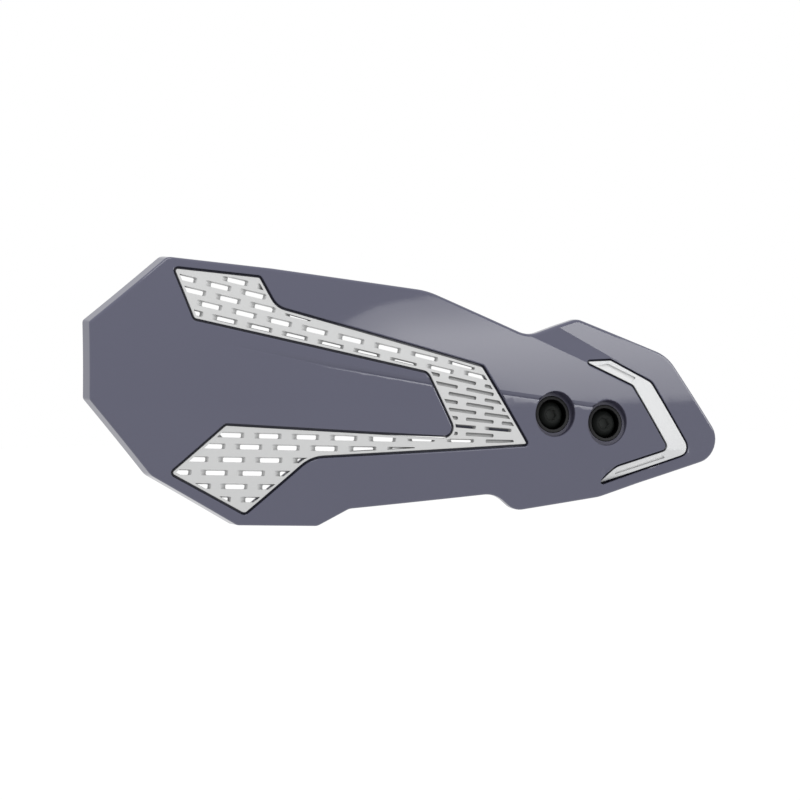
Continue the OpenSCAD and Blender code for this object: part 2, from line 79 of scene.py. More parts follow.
# A mouth is the rounding of a seat's edge, as steps out from the seat's wall and below the face.
insertPlate = {"sink": 0.4, "thick": 1.4, "gap": 0.9, "ledge": 1.1, "border": 0.9, "edge": 0.18,
               "mouth": ((0.45, 0), (0.24, 0.05), (0.08, 0.18), (0, 0.42)),
               "leftRamp": 2.6, "rightRamp": 0.8, "topRamp": 0.45,
               "nearEnd": 0.5, "nearTop": 0.2, "blindFloor": 0.45, "blindSlope": 0.65}
trimPlate = {"sink": 0.15, "thick": 1.5, "gap": 0.7, "edge": 0.2, "recess": 0.8, "recessRuns": 0.8,
             "mouth": ((0.35, 0), (0.1, 0.1), (0, 0.3)), "backing": 0.9, "pads": (1.4, 2.2)}
fixing = {"x": 75, "z": -8.5, "pitch": 22.8, "lean": 2, "tilt": 8, "roll": 9,
          "seat": 16.4, "seatRound": 0.35, "seatMiddle": (0.1, 0.08), "seatRing": 0.8,
          "cupSink": 2.4, "cupOuter": 13.4, "cupGap": 0.25, "cupBack": 7.6, "boltHole": 6.5,
          "boss": 19.6, "bossFloor": 2.5, "bossFoot": 0.9, "bossEdge": 0.4, "socket": 2.45}
ends = (-1, 1)                       # the outboard and the inboard bolt

# Corners are (x, z, radius), anticlockwise as seen from the front.
outline = [(-116.99, 1.9, 2), (-94.2, -26.2, 7), (-61.2, -45.2, 3), (-30.5, -46.15, 3.5),
           (-18.5, -40, 5), (40, -35.8, 12), (48.5, -42.6, 8), (84, -38.5, 20),
           (142.37, -23.8, 8.5), (114, 13.7, 18), (74.9, 28.5, 6.5), (53, 22.6, 13),
           (12.5, 40, 32), (-48, 48.9, 80), (-86.6, 53.56, 4), (-116.5, 30.3, 1.5)]
insertShape = [(-86.8, -25.4, 0.8), (-58.8, -40.7, 1.5), (-34.5, -20.1, 14), (52.1, -17.5, 0.4),
               (33.5, 11.4, 1.5), (-47.2, 34.5, 8), (-52.8, 45.5, 0.8), (-84.3, 49.2, 0.8),
               (-77.9, 31.1, 1.2), (11.7, 10.3, 4), (24.5, -15, 3.8), (-66.9, -8.3, 1)]
upperBlock = [(-77.9, 31.1, 1.2), (11.7, 10.3, 1), (14.4, 5.2, 0.6), (37.4, 5.2, 0.6),
              (33.5, 11.4, 1.5), (-47.2, 34.5, 5), (-52.8, 45.5, 1.5), (-84.3, 49.2, 0.8)]
lowerBlock = [(-86.8, -25.4, 0.8), (-58.8, -40.7, 1.5), (-34.5, -20.1, 5), (34.5, -18.1, 0.4),
              (34.5, -13.2, 0.4), (24.5, -13.4, 0.6), (-66.9, -8.3, 1)]
trimShape = [(84.2, -33.4, 0.3), (124.7, -22.83, 3.2), (106.4, 3.8, 5), (88.5, 12.6, 0.6),
             (77.3, 12.5, 0.3), (97.6, 3.4, 4), (114.4, -21.5, 2.2), (90.6, -27.5, 8)]
# Each recess is deep along its first side and runs out towards the side across from it.
trimRecesses = [[(99.4, 5.9, 0.3), (86.8, 11.6, 0.4), (81.8, 10.9, 0.3), (96.4, 4.2, 0.4)],
                [(90.2, -30.3, 0.3), (112.8, -24.6, 0.2), (110.6, -23.0, 0.3), (92.0, -28.4, 0.3)]]
grooveLine = [(-78, 24.2), (-27, 13.3), (12, 6.2), (82, -4.2)]

# The raised middle's edge: each band falls over a width that changes from its start to its end.
fallBands = [((50.3, 24), (97.6, 3.4), 9.0, 5.2),
             ((97.6, 3.4), (114.4, -21.5), 7.6, 8.4),
             ((114.4, -21.5), (90.6, -27.5), 5.0, 4.4)]
dropZone = [(46, 60), (46, 0), (84, -30), (84.2, -70), (170, -70), (170, 60)]
# Below the trim the drop fades out, across a line in degrees and at the trim's tip as a slope.
fade = {"start": (84, -33.5), "end": (92, -60), "tilt": 7, "belowZ": -33.95, "belowRise": 0.261,
        "tipX": 92, "tipZ": -20, "tipSlope": 0.3, "creaseFrom": (1, 1.6)}


def unit2(v):
    n = math.hypot(*v)
    return (v[0] / n, v[1] / n)


def leftOf(a, b, p):                 # signed distance of p to the left of the line a-b
    u = unit2((b[0] - a[0], b[1] - a[1]))
    return u[0] * (p[1] - a[1]) - u[1] * (p[0] - a[0])


def smooth(low, high, value):
    t = min(1.0, max(0.0, (value - low) / (high - low)))
    return t * t * (3 - 2 * t)


def faceY(x, z, depth=0.0):
    belly = shield["bow"] - shield["crown"] + math.sqrt((shield["crown"] - depth) ** 2 - z * z)
    return shield["bow"] - math.sqrt(belly * belly - x * x)


def bandFall(x, z):                  # depth of the falling bands below the raised middle
    deepest = 0.0
    for a, b, w0, w1 in fallBands:
        u = unit2((b[0] - a[0], b[1] - a[1]))
        length = math.hypot(b[0] - a[0], b[1] - a[1])
        f = min(1.0, max(0.0, (u[0] * (x - a[0]) + u[1] * (z - a[1])) / length))
        side = leftOf(a, b, (x, z))
        deepest = max(deepest, shield["flangeDrop"] * side / (w0 + (w1 - w0) * f))
    return deepest


def dropAt(x, z):
    if not inside((x, z), dropZone):
        return 0.0
    drop = min(shield["flangeDrop"], bandFall(x, z))
    if z < fade["belowZ"] + fade["belowRise"] * (x - fade["start"][0]):
        across = max(0.0, leftOf(fade["start"], fade["end"], (x, z)))
        drop = min(drop, across * math.tan(math.radians(fade["tilt"])))
    if z < fade["tipZ"] and x < fade["tipX"]:
        drop = min(drop, fade["tipSlope"] * nearest((x, z), dropZone))
    return drop


def grooveAt(x, z):
    # the groove deepens gently from above, rises sharply below and fades out at the left
    above, below, deepest = shield["grooveAbove"], shield["grooveBelow"], shield["grooveDeepest"]
    full, slack = shield["grooveDepth"] * smooth(*shield["grooveFades"], x), shield["grooveSlack"]
    for a, b in zip(grooveLine, grooveLine[1:]):
        if a[0] - slack <= x <= b[0] + slack:
            side = leftOf(a, b, (x, z))
            if side > deepest:
                return full * max(0.0, (above - side) / (above - deepest))
            slope = shield["slope"] * full / shield["grooveDepth"]
            if side > -below:
                return slope + (full - slope) * (side + below) / (deepest + below)
            return slope * max(0.0, 1 + (side + below) / shield["slopeWidth"])
    return 0.0


def rimDepthAt(x):                   # the turned-back rim runs out towards the inboard end
    lost = (shield["rimDepth"] - shield["rimInboard"]) * smooth(*shield["rimRuns"], x)
    return shield["rimDepth"] - lost


def place(x, y, z):                  # shield mm to the row's metres
    m = shield["middle"]
    return Vector(((x + m[0]) * mm, (y + m[1]) * mm, (z + m[2]) * mm))


def surface(x, z, depth=0.0, drop=True, groove=False):
    d = depth + (dropAt(x, z) if drop else 0.0) + (grooveAt(x, z) if groove else 0.0)
    return place(x, faceY(x, z) + d, z)


def trimSurface(x, z, depth=0.0):
    # the trim lies on the falling bands, also where they pass the flange's level
    return place(x, faceY(x, z) + max(0.0, bandFall(x, z)) + trimPlate["sink"] + depth, z)


def lifted(loop, depth, **how):
    return [surface(x, z, depth, **how) for x, z in loop]


def ringOf(corners, inset=0.0, arcSteps=6):
    # a rounded outline, moved in by inset; every inset gives the same number of points
    count = len(corners)
    base = [(c[0], c[1]) for c in corners]

    def edgeIn(i):
        a, b = base[i % count], base[(i + 1) % count]
        u = unit2((b[0] - a[0], b[1] - a[1]))
        return (-u[1], u[0])

    arcs = []
    for i in range(count):
        a, b = edgeIn(i - 1), edgeIn(i)
        k = 1 + a[0] * b[0] + a[1] * b[1]
        c = ((a[0] + b[0]) / k, (a[1] + b[1]) / k)
        bend = 1 if a[0] * b[1] - a[1] * b[0] > 0 else -1
        r = max(fineness["leastRadius"], corners[i][2] - bend * inset)
        tip = (base[i][0] + inset * c[0], base[i][1] + inset * c[1])
        mid = (tip[0] + bend * r * c[0], tip[1] + bend * r * c[1])
        start = math.atan2(-bend * a[1], -bend * a[0])
        sweep = bend * math.acos(max(-1.0, min(1.0, a[0] * b[0] + a[1] * b[1])))
        steps = max(2, min(arcSteps, int(2 + corners[i][2] * abs(sweep) / fineness["arc"])))
        angles = [start + sweep * s / steps for s in range(steps + 1)]
        arcs.append([(mid[0] + r * math.cos(t), mid[1] + r * math.sin(t)) for t in angles])
    points = []
    for i in range(count):
        points += arcs[i]
        p, q = arcs[i][-1], arcs[(i + 1) % count][0]
        n = max(1, int(math.dist(base[i], base[(i + 1) % count]) / fineness["straight"]))
        points += [(p[0] + (q[0] - p[0]) * s / n, p[1] + (q[1] - p[1]) * s / n)
                   for s in range(1, n)]
    return points


def splitLine(a, b, step=2.0):
    n = max(1, int(math.dist(a, b) / step))
    return [(a[0] + (b[0] - a[0]) * i / n, a[1] + (b[1] - a[1]) * i / n) for i in range(n + 1)]


def counterClockwise(loop):
    area = sum(a[0] * b[1] - b[0] * a[1] for a, b in zip(loop, loop[1:] + loop[:1]))
    return loop if area > 0 else loop[::-1]


def inside(p, loop):
    hit = False
    for a, b in zip(loop, loop[-1:] + loop[:-1]):
        if (a[1] > p[1]) != (b[1] > p[1]):
            if p[0] < (b[0] - a[0]) * (p[1] - a[1]) / (b[1] - a[1]) + a[0]:
                hit = not hit
    return hit


def nearest(p, loop):
    best = math.inf
    for i in range(len(loop)):
        a, b = loop[i - 1], loop[i]
        ux, uz = b[0] - a[0], b[1] - a[1]
        span = ux * ux + uz * uz or 1e-9
        t = min(1.0, max(0.0, ((p[0] - a[0]) * ux + (p[1] - a[1]) * uz) / span))
        best = min(best, (a[0] + ux * t - p[0]) ** 2 + (a[1] + uz * t - p[1]) ** 2)
    return math.sqrt(best)


def gridInside(outer, holes, grid):
    # staggered rows of points, free of the loops
    xs, zs = [p[0] for p in outer], [p[1] for p in outer]
    points = []
    z = min(zs) + grid / 2
    row = 0
    while z < max(zs):
        x = min(xs) + (grid / 2 if row % 2 else 0)
        while x < max(xs):
            p = (x, z)
            if inside(p, outer) and not any(inside(p, h) for h in holes):
                if all(nearest(p, loop) > grid * fineness["clear"] for loop in [outer, *holes]):
                    points.append(Vector(p))
            x += grid
        z += grid * fineness["rows"]
        row += 1
    return points


def triangulate(outer, holes=(), lines=(), grid=0.0, regions=()):
    # returns points, triangles and for each triangle the region loops it lies in
    points = [Vector(p) for p in outer]
    edges = []
    faces = [list(range(len(outer)))]
    for loop in list(holes) + list(regions):
        first = len(points)
        points += [Vector(p) for p in loop]
        faces.append(list(range(first, first + len(loop))))
    for line in lines:
        first = len(points)
        points += [Vector(p) for p in line]
        edges += [(first + i, first + i + 1) for i in range(len(line) - 1)]
    if grid:
        points += gridInside(outer, holes, grid)
    verts, _, tris, _, _, owners = delaunay_2d_cdt(points, edges, faces, 1, 1e-5, True)
    keep, groups = [], []
    for tri, own in zip(tris, owners):
        own = set(own)
        if 0 in own and not any(1 + h in own for h in range(len(holes))):
            keep.append(tuple(tri))
            groups.append({o - 1 - len(holes) for o in own if o > len(holes)})
    return [(v.x, v.y) for v in verts], keep, groups


class Builder:
    # gathers a piece's vertices and faces, in the row's metres
    def __init__(self):
        self.verts, self.faces = [], []
        self.crisp = 0               # the first faces, which crease at a smaller angle
        self.slots = []              # first face, last face, material slot

    def add(self, points):
        first = len(self.verts)
        self.verts += [Vector(p) for p in points]
        return list(range(first, first + len(points)))

    def sheet(self, flatPoints, tris, lift, back=False):
        ids = self.add([lift(x, z) for x, z in flatPoints])
        for a, b, c in tris:         # counter-clockwise in x-z faces the front, -Y
            self.faces.append((ids[a], ids[c], ids[b]) if back else (ids[a], ids[b], ids[c]))

    def walls(self, rings, flip=False):
        ids = [self.add(r) for r in rings]
        for ringA, ringB in zip(ids, ids[1:]):
            for i in range(len(ringA)):
                j = (i + 1) % len(ringA)
                quad = (ringA[i], ringB[i], ringB[j], ringA[j])
                self.faces.append(quad[::-1] if flip else quad)

    def useSlot(self, first, slot):  # for all faces from the first one on
        self.slots.append((first, len(self.faces), slot))

    def build(self, name, smoothAngle, creaseAngle=9):
        mesh = bpy.data.meshes.new(name)
        mesh.from_pydata(self.verts, [], self.faces)
        bm = bmesh.new()
        bm.from_mesh(mesh)
        bm.faces.ensure_lookup_table()
        for face in bm.faces[:self.crisp]:
            face.tag = True
        for first, last, slot in self.slots:
            for face in bm.faces[first:last]:
                face.material_index = slot
        bmesh.ops.remove_doubles(bm, verts=bm.verts, dist=fineness["weld"])
        bmesh.ops.dissolve_degenerate(bm, edges=bm.edges, dist=fineness["sliver"])
        bmesh.ops.delete(bm, geom=[v for v in bm.verts if not v.link_faces], context="VERTS")
        bmesh.ops.recalc_face_normals(bm, faces=bm.faces)
        for face in bm.faces:
            face.smooth = True
        for edge in bm.edges:
            if len(edge.link_faces) == 2:
                onFace = all(f.tag for f in edge.link_faces)
                limit = creaseAngle if onFace else smoothAngle
                edge.smooth = edge.calc_face_angle(0) < math.radians(limit)
            else:
                edge.smooth = False
        bm.to_mesh(mesh)
        bm.free()
        obj = bpy.data.objects.new(name, mesh)
        bpy.context.scene.collection.objects.link(obj)
        even = obj.modifiers.new("evenShading", "WEIGHTED_NORMAL")
        even.keep_sharp = True
        even.weight = 100
        return obj


# The fixing's frame: its axis runs back through the shield at each bolt.
faceLean = math.asin(fixing["x"] / (shield["bow"] - shield["crown"]
                                    + math.sqrt(shield["crown"] ** 2 - fixing["z"] ** 2)))


def cupStep(end):                    # the bolts are parallel, so the cups step with the face
    return end * math.tan(faceLean - math.radians(fixing["lean"])) * fixing["pitch"] / 2


def fixingMatrix(end):
    at = place(fixing["x"], faceY(fixing["x"], fixing["z"]), fixing["z"])
    turn = (Matrix.Rotation(math.radians(fixing["lean"]), 4, "Z")
            @ Matrix.Rotation(math.radians(-fixing["tilt"]), 4, "X")
            @ Matrix.Rotation(math.radians(fixing["roll"]), 4, "Y"))
    slide = Matrix.Translation(Vector((end * fixing["pitch"] / 2 * mm, 0, 0)))
    stand = Matrix.Rotation(math.radians(-90), 4, "X")
    return Matrix.Translation(at) @ turn @ slide @ stand


def meetLayer(m, px, py, depth=0.0, steps=8, share=0.98):
    # where a line along the fixing's axis meets the face or a layer behind it: x-z and height
    def at(h):
        p = m @ Vector((px, py, h))
        return p.x / mm - shield["middle"][0], p.y, p.z / mm - shield["middle"][2]

    h = 0.0
    for _ in range(steps):
        x, y, z = at(h)
        h += (surface(x, z, depth).y - y) * share
    x, _, z = at(h)
    return (x, z), h


def seatLoop(end, radius):
    # where a cylinder about the bolt's axis leaves the face, as x-z points and heights on the axis
    m = fixingMatrix(end)
    met = [meetLayer(m, radius * mm * math.cos(a), radius * mm * math.sin(a)) for a in roundAngles]
    return [point for point, _ in met], [h for _, h in met]


def circlePoint(end, radius, angle, height):
    flat = (radius * mm * math.cos(angle), radius * mm * math.sin(angle))
    return fixingMatrix(end) @ Vector((*flat, height))


def circleAt(end, radius, height):
    return [circlePoint(end, radius, angle, height * mm) for angle in roundAngles]


def capsule(radius, steps=24):
    # the outline round both bolts, in the fixings' own plane, in metres
    points = []
    for end in reversed(ends):
        for i in range(steps + 1):
            a = math.radians(-90 + 180 * i / steps) + (0 if end > 0 else math.pi)
            points.append((end * fixing["pitch"] / 2 * mm + radius * mm * math.cos(a),
                           radius * mm * math.sin(a)))
    return points


def bossLoop(radius):
    # where the boss's side meets the inside of the wall, as x-z points
    m = fixingMatrix(0)
    return [meetLayer(m, px, py, shield["wall"])[0] for px, py in capsule(radius)]


def shellCreases():
    # lines that the mesh has to follow: the bands' edges, the groove's, and the fading drop's
    bands, grooves, fades = [], [], []
    for a, c, w0, w1 in fallBands:
        bands.append(splitLine(a, c))
        u = unit2((c[0] - a[0], c[1] - a[1]))
        bands.append(splitLine((a[0] - u[1] * w0, a[1] + u[0] * w0),
                               (c[0] - u[1] * w1, c[1] + u[0] * w1)))
    below = shield["grooveBelow"]
    for off in (-below - shield["slopeWidth"], -below, shield["grooveDeepest"],
                shield["grooveAbove"]):
        for a, c in zip(grooveLine, grooveLine[1:]):
            up = off * math.dist(a, c) / (c[0] - a[0])
            grooves.append(splitLine((a[0], a[1] + up), (c[0], c[1] + up)))
    start, end, (alongX, alongZ) = fade["start"], fade["end"], fade["creaseFrom"]
    u = unit2((end[0] - start[0], end[1] - start[1]))
    for off in (0, shield["flangeDrop"] / math.tan(math.radians(fade["tilt"]))):
        fades.append(splitLine((start[0] - u[1] * off + u[0] * alongX,
                                start[1] + u[0] * off + u[1] * alongZ),
                               (end[0] - u[1] * off, end[1] + u[0] * off)))
    return bands, grooves, fades


def makeShell():
    s, b = shield, Builder()
    edge, wall, inner = s["edge"], s["wall"], s["rimWall"]

    def rim(d):
        return ringOf(outline, d, 10)

    def insertGap(d):
        return ringOf(insertShape, -insertPlate["gap"] - d, 5)

    def trimGap(d):
        return ringOf(trimShape, -trimPlate["gap"] - d, 5)

    openings = [ringOf(block, insertPlate["ledge"], 5) for block in (upperBlock, lowerBlock)]
    seats = [seatLoop(end, fixing["seat"] / 2 + fixing["seatRound"]) for end in ends]
    # rings close to the edge and the seats keep their rounding narrow
    rounds = [rim(edge + s["edgeRing"])]
    rounds += [seatLoop(end, fixing["seat"] / 2 + fixing["seatRing"])[0] for end in ends]
    bands, grooves, fades = shellCreases()
    mouths = [insertGap(insertPlate["mouth"][0][0]), trimGap(trimPlate["mouth"][0][0])]
    flat, tris, _ = triangulate(rim(edge), mouths + [counterClockwise(loop) for loop, _ in seats],
                                bands + grooves + fades + [r + r[:1] for r in rounds],
                                fineness["face"])
    b.sheet(flat, tris, lambda x, z: surface(x, z, groove=True))
    b.crisp = len(b.faces)

    # turned-back rim: rounded front edge, side, lip and inside
    rings = []
    for t in (0, 0.4, 0.8, 1.2, math.pi / 2):
        out, down = edge * (1 - math.sin(t)), edge * (1 - math.cos(t))
        rings.append(lifted(rim(out), down, groove=(down == 0)))
    lip = s["lipRound"]
    mid = lip * midArc
    for i, d in ((0, lip), (mid, mid), (lip, 0),
                 (inner - lip, 0), (inner - mid, mid), (inner, lip)):
        rings.append([surface(x, z, rimDepthAt(x) - d) for x, z in rim(i)])
    for i, d, more in s["hollow"]:
        rings.append([surface(x, z, wall + d + more * (rimDepthAt(x) - s["rimInboard"])
                              / (s["rimDepth"] - s["rimInboard"])) for x, z in rim(inner + i)])
    b.walls(rings)

    radius = fixing["boss"] / 2
    bossMouth = bossLoop(radius + fixing["bossFoot"])
    pads = [ringOf(trimShape, -d, 5) for d in trimPlate["pads"]]
    wallEdge = rim(inner + s["hollow"][-1][0])
    flat, tris, _ = triangulate(wallEdge, openings + [counterClockwise(bossMouth)],
                                bands + fades + [pad + pad[:1] for pad in pads],
                                fineness["face"] * fineness["backTimes"])

    def behind(x, z):                # the wall thickens behind the trim's seat
        depth = wall
        if inside((x, z), pads[0]):
            floor = max(0.0, bandFall(x, z)) + trimPlate["sink"] + trimPlate["thick"]
            depth += max(0.0, floor + trimPlate["backing"] - depth - dropAt(x, z))
        return surface(x, z, depth)

    b.sheet(flat, tris, behind, back=True)

    # seat of the vent insert
    floorDepth = insertPlate["sink"] + insertPlate["thick"]
    mouth = [lifted(insertGap(out), d, groove=(d == 0)) for out, d in insertPlate["mouth"]]
    b.walls(mouth + [lifted(insertGap(0), floorDepth)], flip=True)
    flat, tris, _ = triangulate(insertGap(0), openings, [], fineness["ledge"])
    b.sheet(flat, tris, lambda x, z: surface(x, z, floorDepth))
    for loop in openings:
        b.walls([lifted(loop, floorDepth), lifted(loop, wall)], flip=True)

    def trimFloor(x, z):
        return trimSurface(x, z, trimPlate["thick"])

    # seat of the end trim
    mouth = [lifted(trimGap(out), d) for out, d in trimPlate["mouth"]]
    b.walls(mouth + [[trimFloor(x, z) for x, z in trimGap(0)]], flip=True)
    flat, tris, _ = triangulate(trimGap(0), [], [], fineness["plate"])
    b.sheet(flat, tris, trimFloor)

    # bolt seats and the bosses behind them
    r, hole = fixing["seat"] / 2, fixing["boltHole"] / 2
    bore = fixing["cupOuter"] / 2 + fixing["cupGap"]
    bossBack = fixing["cupBack"] + fixing["bossFloor"]
    softOut, softDown = fixing["seatMiddle"]
    for end, (loop, heights) in zip(ends, seats):
        around = list(zip(roundAngles, heights))
        soft = [circlePoint(end, r + softOut, a, h + softDown * mm) for a, h in around]
        wallTop = [circlePoint(end, r, a, h + fixing["seatRound"] * mm) for a, h in around]
        sink, cupBack = fixing["cupSink"] + cupStep(end), fixing["cupBack"] + cupStep(end)
        first = len(b.faces)
        b.walls([lifted(loop, 0.0), soft, wallTop, circleAt(end, r, sink),
                 circleAt(end, bore, sink), circleAt(end, bore, cupBack),
                 circleAt(end, hole, cupBack), circleAt(end, hole, bossBack)])
        # The seat walls take the second slot, a darker copy of the shield plastic as painted
        # shade.
        b.useSlot(first, 1)
    m = fixingMatrix(0)
    capOutline = capsule(radius - fixing["bossEdge"])
    foot = [p + Vector((0, fixing["bossFoot"] * mm, 0)) for p in lifted(bossLoop(radius), wall)]
    tip = [m @ Vector((*p, (bossBack - fixing["bossEdge"]) * mm)) for p in capsule(radius)]
    cap = [m @ Vector((*p, bossBack * mm)) for p in capOutline]
    b.walls([lifted(bossMouth, wall), foot, tip, cap], flip=True)
    screwHoles = [[((end * fixing["pitch"] / 2 * mm + hole * mm * math.cos(a)) / mm,
                    hole * mm * math.sin(a) / mm) for a in roundAngles] for end in ends]
    flat, tris, _ = triangulate([(p[0] / mm, p[1] / mm) for p in capOutline], screwHoles)
    ids = b.add([m @ Vector((x * mm, z * mm, bossBack * mm)) for x, z in flat])
    b.faces += [(ids[i], ids[j], ids[k]) for i, j, k in tris]
    return b.build("guardShell", 32)


# The insert's slots lie in slanted rows, and a row's places are counted from its left.
ventRows = {"left": -80, "start": -60, "widens": 0.18, "wide": 2.1, "narrowFrom": 6,
            "blindFrom": 8, "corner": 0.45}
# z where the row starts, shift, first and last place, and how it fans out at the right
upperVents = {"tilt": 13.7, "pitch": 12.4, "length": 9.6, "grows": 0.25, "narrow": 1.7,
              "rows": ((44.1, 0.42, 1, 2.5, 0.02), (40.7, 0.92, -0.2, 3.4, 0.02),
                       (36.7, 0.175, -0.2, 3.4, 0.02), (32.8, 0.625, -0.2, 9, 0.02),
                       (28.8, 0.05, -0.2, 9, 0.06))}
# z where the row starts, shift, number of places, tilt
lowerVents = {"first": -0.4, "pitch": 13.5, "length": 10.4, "grows": 0.15, "narrow": 1.3,
              "rows": ((-11.9, 0.08, 9, 2.5), (-16.1, 0.574, 9, 2.2), (-20.9, 0.12, 4, 1.8),
                       (-25.8, 0.665, 4, 1.8), (-30.8, 0.21, 4, 1.8), (-35.6, 0.77, 4, 1.8))}
legVents = {"x": 25.3, "stagger": 7.2, "pitch": 14.7, "z": 5.56, "rowStep": 2.72, "start": 30,
            "tilt": 13, "turns": 1.2, "length": 11.5, "height": 1.3, "rows": 8, "openRow": 6,
            "lastRowEnds": 45}


def ventList():
    # every vent as (x, z, tilt, length, height, blind)
    vents = []
    v, up, low, leg = ventRows, upperVents, lowerVents, legVents
    upFall = math.tan(math.radians(up["tilt"]))
    for zStart, shift, first, last, fan in up["rows"]:
        for k in range(-1, 9):
            s = shift + k
            if first < s < last:
                x = v["left"] + up["pitch"] * s + v["widens"] * s * s
                z = zStart - upFall * (x - v["start"]) + fan * max(0, x)
                vents.append((x, z, up["tilt"], up["length"] + up["grows"] * s,
                              v["wide"] if s < v["narrowFrom"] else up["narrow"], False))
    for zStart, shift, count, tilt in low["rows"]:
        for k in range(-1, count):
            s = shift + k
            if s > low["first"]:
                x = v["left"] + low["pitch"] * s + v["widens"] * s * s
                z = zStart - math.tan(math.radians(tilt)) * (x - v["start"])
                vents.append((x, z, tilt, low["length"] + low["grows"] * s,
                              v["wide"] if s < v["narrowFrom"] else low["narrow"],
                              s > v["blindFrom"]))
    for k in range(leg["rows"]):
        for m in (-1, 0, 1):
            x = leg["x"] + leg["stagger"] * (k % 2) + leg["pitch"] * m
            tilt = leg["tilt"] - leg["turns"] * k
            z = leg["z"] - leg["rowStep"] * k - math.tan(math.radians(tilt)) * (x - leg["start"])
            if k < leg["rows"] - 1 or x < leg["lastRowEnds"]:
                vents.append((x, z, tilt, leg["length"], leg["height"], k != leg["openRow"]))
    return vents


def ventLoop(v):
    x, z, tilt, length, height, _ = v
    c, s = math.cos(math.radians(-tilt)), math.sin(math.radians(-tilt))
    x1, z1, r = length / 2, height / 2, ventRows["corner"]
    corners = []
    for u, w, first in ((-x1, -z1, 1), (x1, -z1, 0), (x1, z1, 1), (-x1, z1, 0)):
        du, dw = math.copysign(r, -u), math.copysign(r, -w)
        pts = ((u, w + dw), (u + du * midArc, w + dw * midArc), (u + du, w))
        corners += [(x + p * c - q * s, z + p * s + q * c)
                    for p, q in (pts if first else pts[::-1])]
    return corners


def plateEdge(shape, plate, lift):
    # a plate's rounded front edge and its side
    e = plate["edge"]
    mid = e * midArc
    return [[lift(x, z, d) for x, z in ringOf(shape, i)]
            for i, d in ((e, 0), (mid, mid), (0, e), (0, plate["thick"]))]


def openSides(tris):
    # the sides that only one of the triangles has
    uses = {}
    for t in tris:
        for side in zip(t, t[1:] + t[:1]):
            uses.setdefault(tuple(sorted(side)), []).append(side)
    return [sides[0] for sides in uses.values() if len(sides) == 1]


def makeInsert():
    p, b = insertPlate, Builder()

    def lift(x, z, d=0.0):
        return surface(x, z, p["sink"] + d, drop=False)

    reach = ringOf(insertShape, p["border"])
    vents = [v for v in ventList() if any(inside(q, reach) for q in ventLoop(v))]
    border = ringOf(insertShape, p["border"], 4)
    b.walls(plateEdge(insertShape, p, lift))
    flat, tris, groups = triangulate(ringOf(insertShape, p["edge"]), [], [], fineness["plate"],
                                     [border] + [counterClockwise(ventLoop(v)) for v in vents])
    solid, holes = [], {}
    for tri, own in zip(tris, groups):
        vent = next((g - 1 for g in sorted(own) if g > 0), None)
        if 0 in own and vent is not None:
            holes.setdefault(vent, []).append(tri)
        else:
            solid.append(tri)
    b.sheet(flat, solid, lift)
    blindTris = [t for g, ts in holes.items() if vents[g][5] for t in ts]
    b.sheet(flat, solid + blindTris, lambda x, z: lift(x, z, p["thick"]), back=True)
    for g, ts in holes.items():
        x0, z0, tilt, length, height, blind = vents[g]
        c, s = math.cos(math.radians(tilt)), math.sin(math.radians(tilt))

        def bottom(x, z):
            along = (x - x0) * c - (z - z0) * s
            across = (x - x0) * s + (z - z0) * c
            if blind:                # the floor slopes up to the lower edge
                high = min(1.0, max(0.0, across / height + 0.5))
                return lift(x, z, p["blindFloor"] + p["blindSlope"] * high)
            near = abs(along) > length / 2 - p["nearEnd"]
            shift = (p["leftRamp"] if along < 0 else -p["rightRamp"]) if near else 0.0
            down = p["topRamp"] if across > height / 2 - p["nearTop"] else 0.0
            return lift(x + shift * c - down * s, z - shift * s - down * c, p["thick"])

        for i, j in openSides(ts):
            b.faces.append(tuple(b.add([lift(*flat[i]), lift(*flat[j]),
                                        bottom(*flat[j]), bottom(*flat[i])])))
        if blind:
            b.sheet(flat, ts, bottom)
    return b.build("ventInsert", 30)


def makeTrim():
    p, b = trimPlate, Builder()
    lift = trimSurface
    b.walls(plateEdge(trimShape, p, lift))
    recesses = [ringOf(r, 0, 4) for r in trimRecesses]
    flat, tris, _ = triangulate(ringOf(trimShape, p["edge"]), recesses, [], fineness["trim"])
    b.sheet(flat, tris, lift)
    for loop, corners in zip(recesses, trimRecesses):
        a, c = corners[0][:2], corners[1][:2]
        wide = leftOf(a, c, corners[2][:2])

        def floorAt(x, z):
            across = min(1.0, max(0.0, leftOf(a, c, (x, z)) / wide))
            return lift(x, z, p["recess"] * (1 - p["recessRuns"] * across))

        b.walls([[lift(x, z) for x, z in loop], [floorAt(x, z) for x, z in loop]], flip=True)
        flat, tris, _ = triangulate(loop, [], [], fineness["trim"])
        first = len(b.faces)
        b.sheet(flat, tris, floorAt)
        # The recess floors take the second slot, a lighter copy of the trim plastic as painted
        # light.
        b.useSlot(first, 1)
    flat, tris, _ = triangulate(ringOf(trimShape), [], [], fineness["plate"])
    b.sheet(flat, tris, lambda x, z: lift(x, z, p["thick"]), back=True)
    return b.build("endTrim", 26)


# Shader parts shared by the materials.
grains = {"detail": 3, "slowScale": 18, "slowDetail": 2,
          "roughLeast": 0.9, "roughMost": 1.15, "bumpHeight": 0.0001}
# Settings of the painted shade in narrow gaps, taken from ambient occlusion.
gaps = {"reach": 0.004, "samples": 8, "shut": 0.35, "open": 0.92}   # reach in metres


def makeGroup(name, inputs, outputs):
    group = bpy.data.node_groups.new(name, "ShaderNodeTree")
    for label, value in inputs:
        socket = group.interface.new_socket(name=label, in_out="INPUT",
                                            socket_type="NodeSocketFloat")
        socket.default_value = value
    for label in outputs:
        group.interface.new_socket(name=label, in_out="OUTPUT", socket_type="NodeSocketFloat")
    return group, group.nodes.new("NodeGroupInput"), group.nodes.new("NodeGroupOutput")


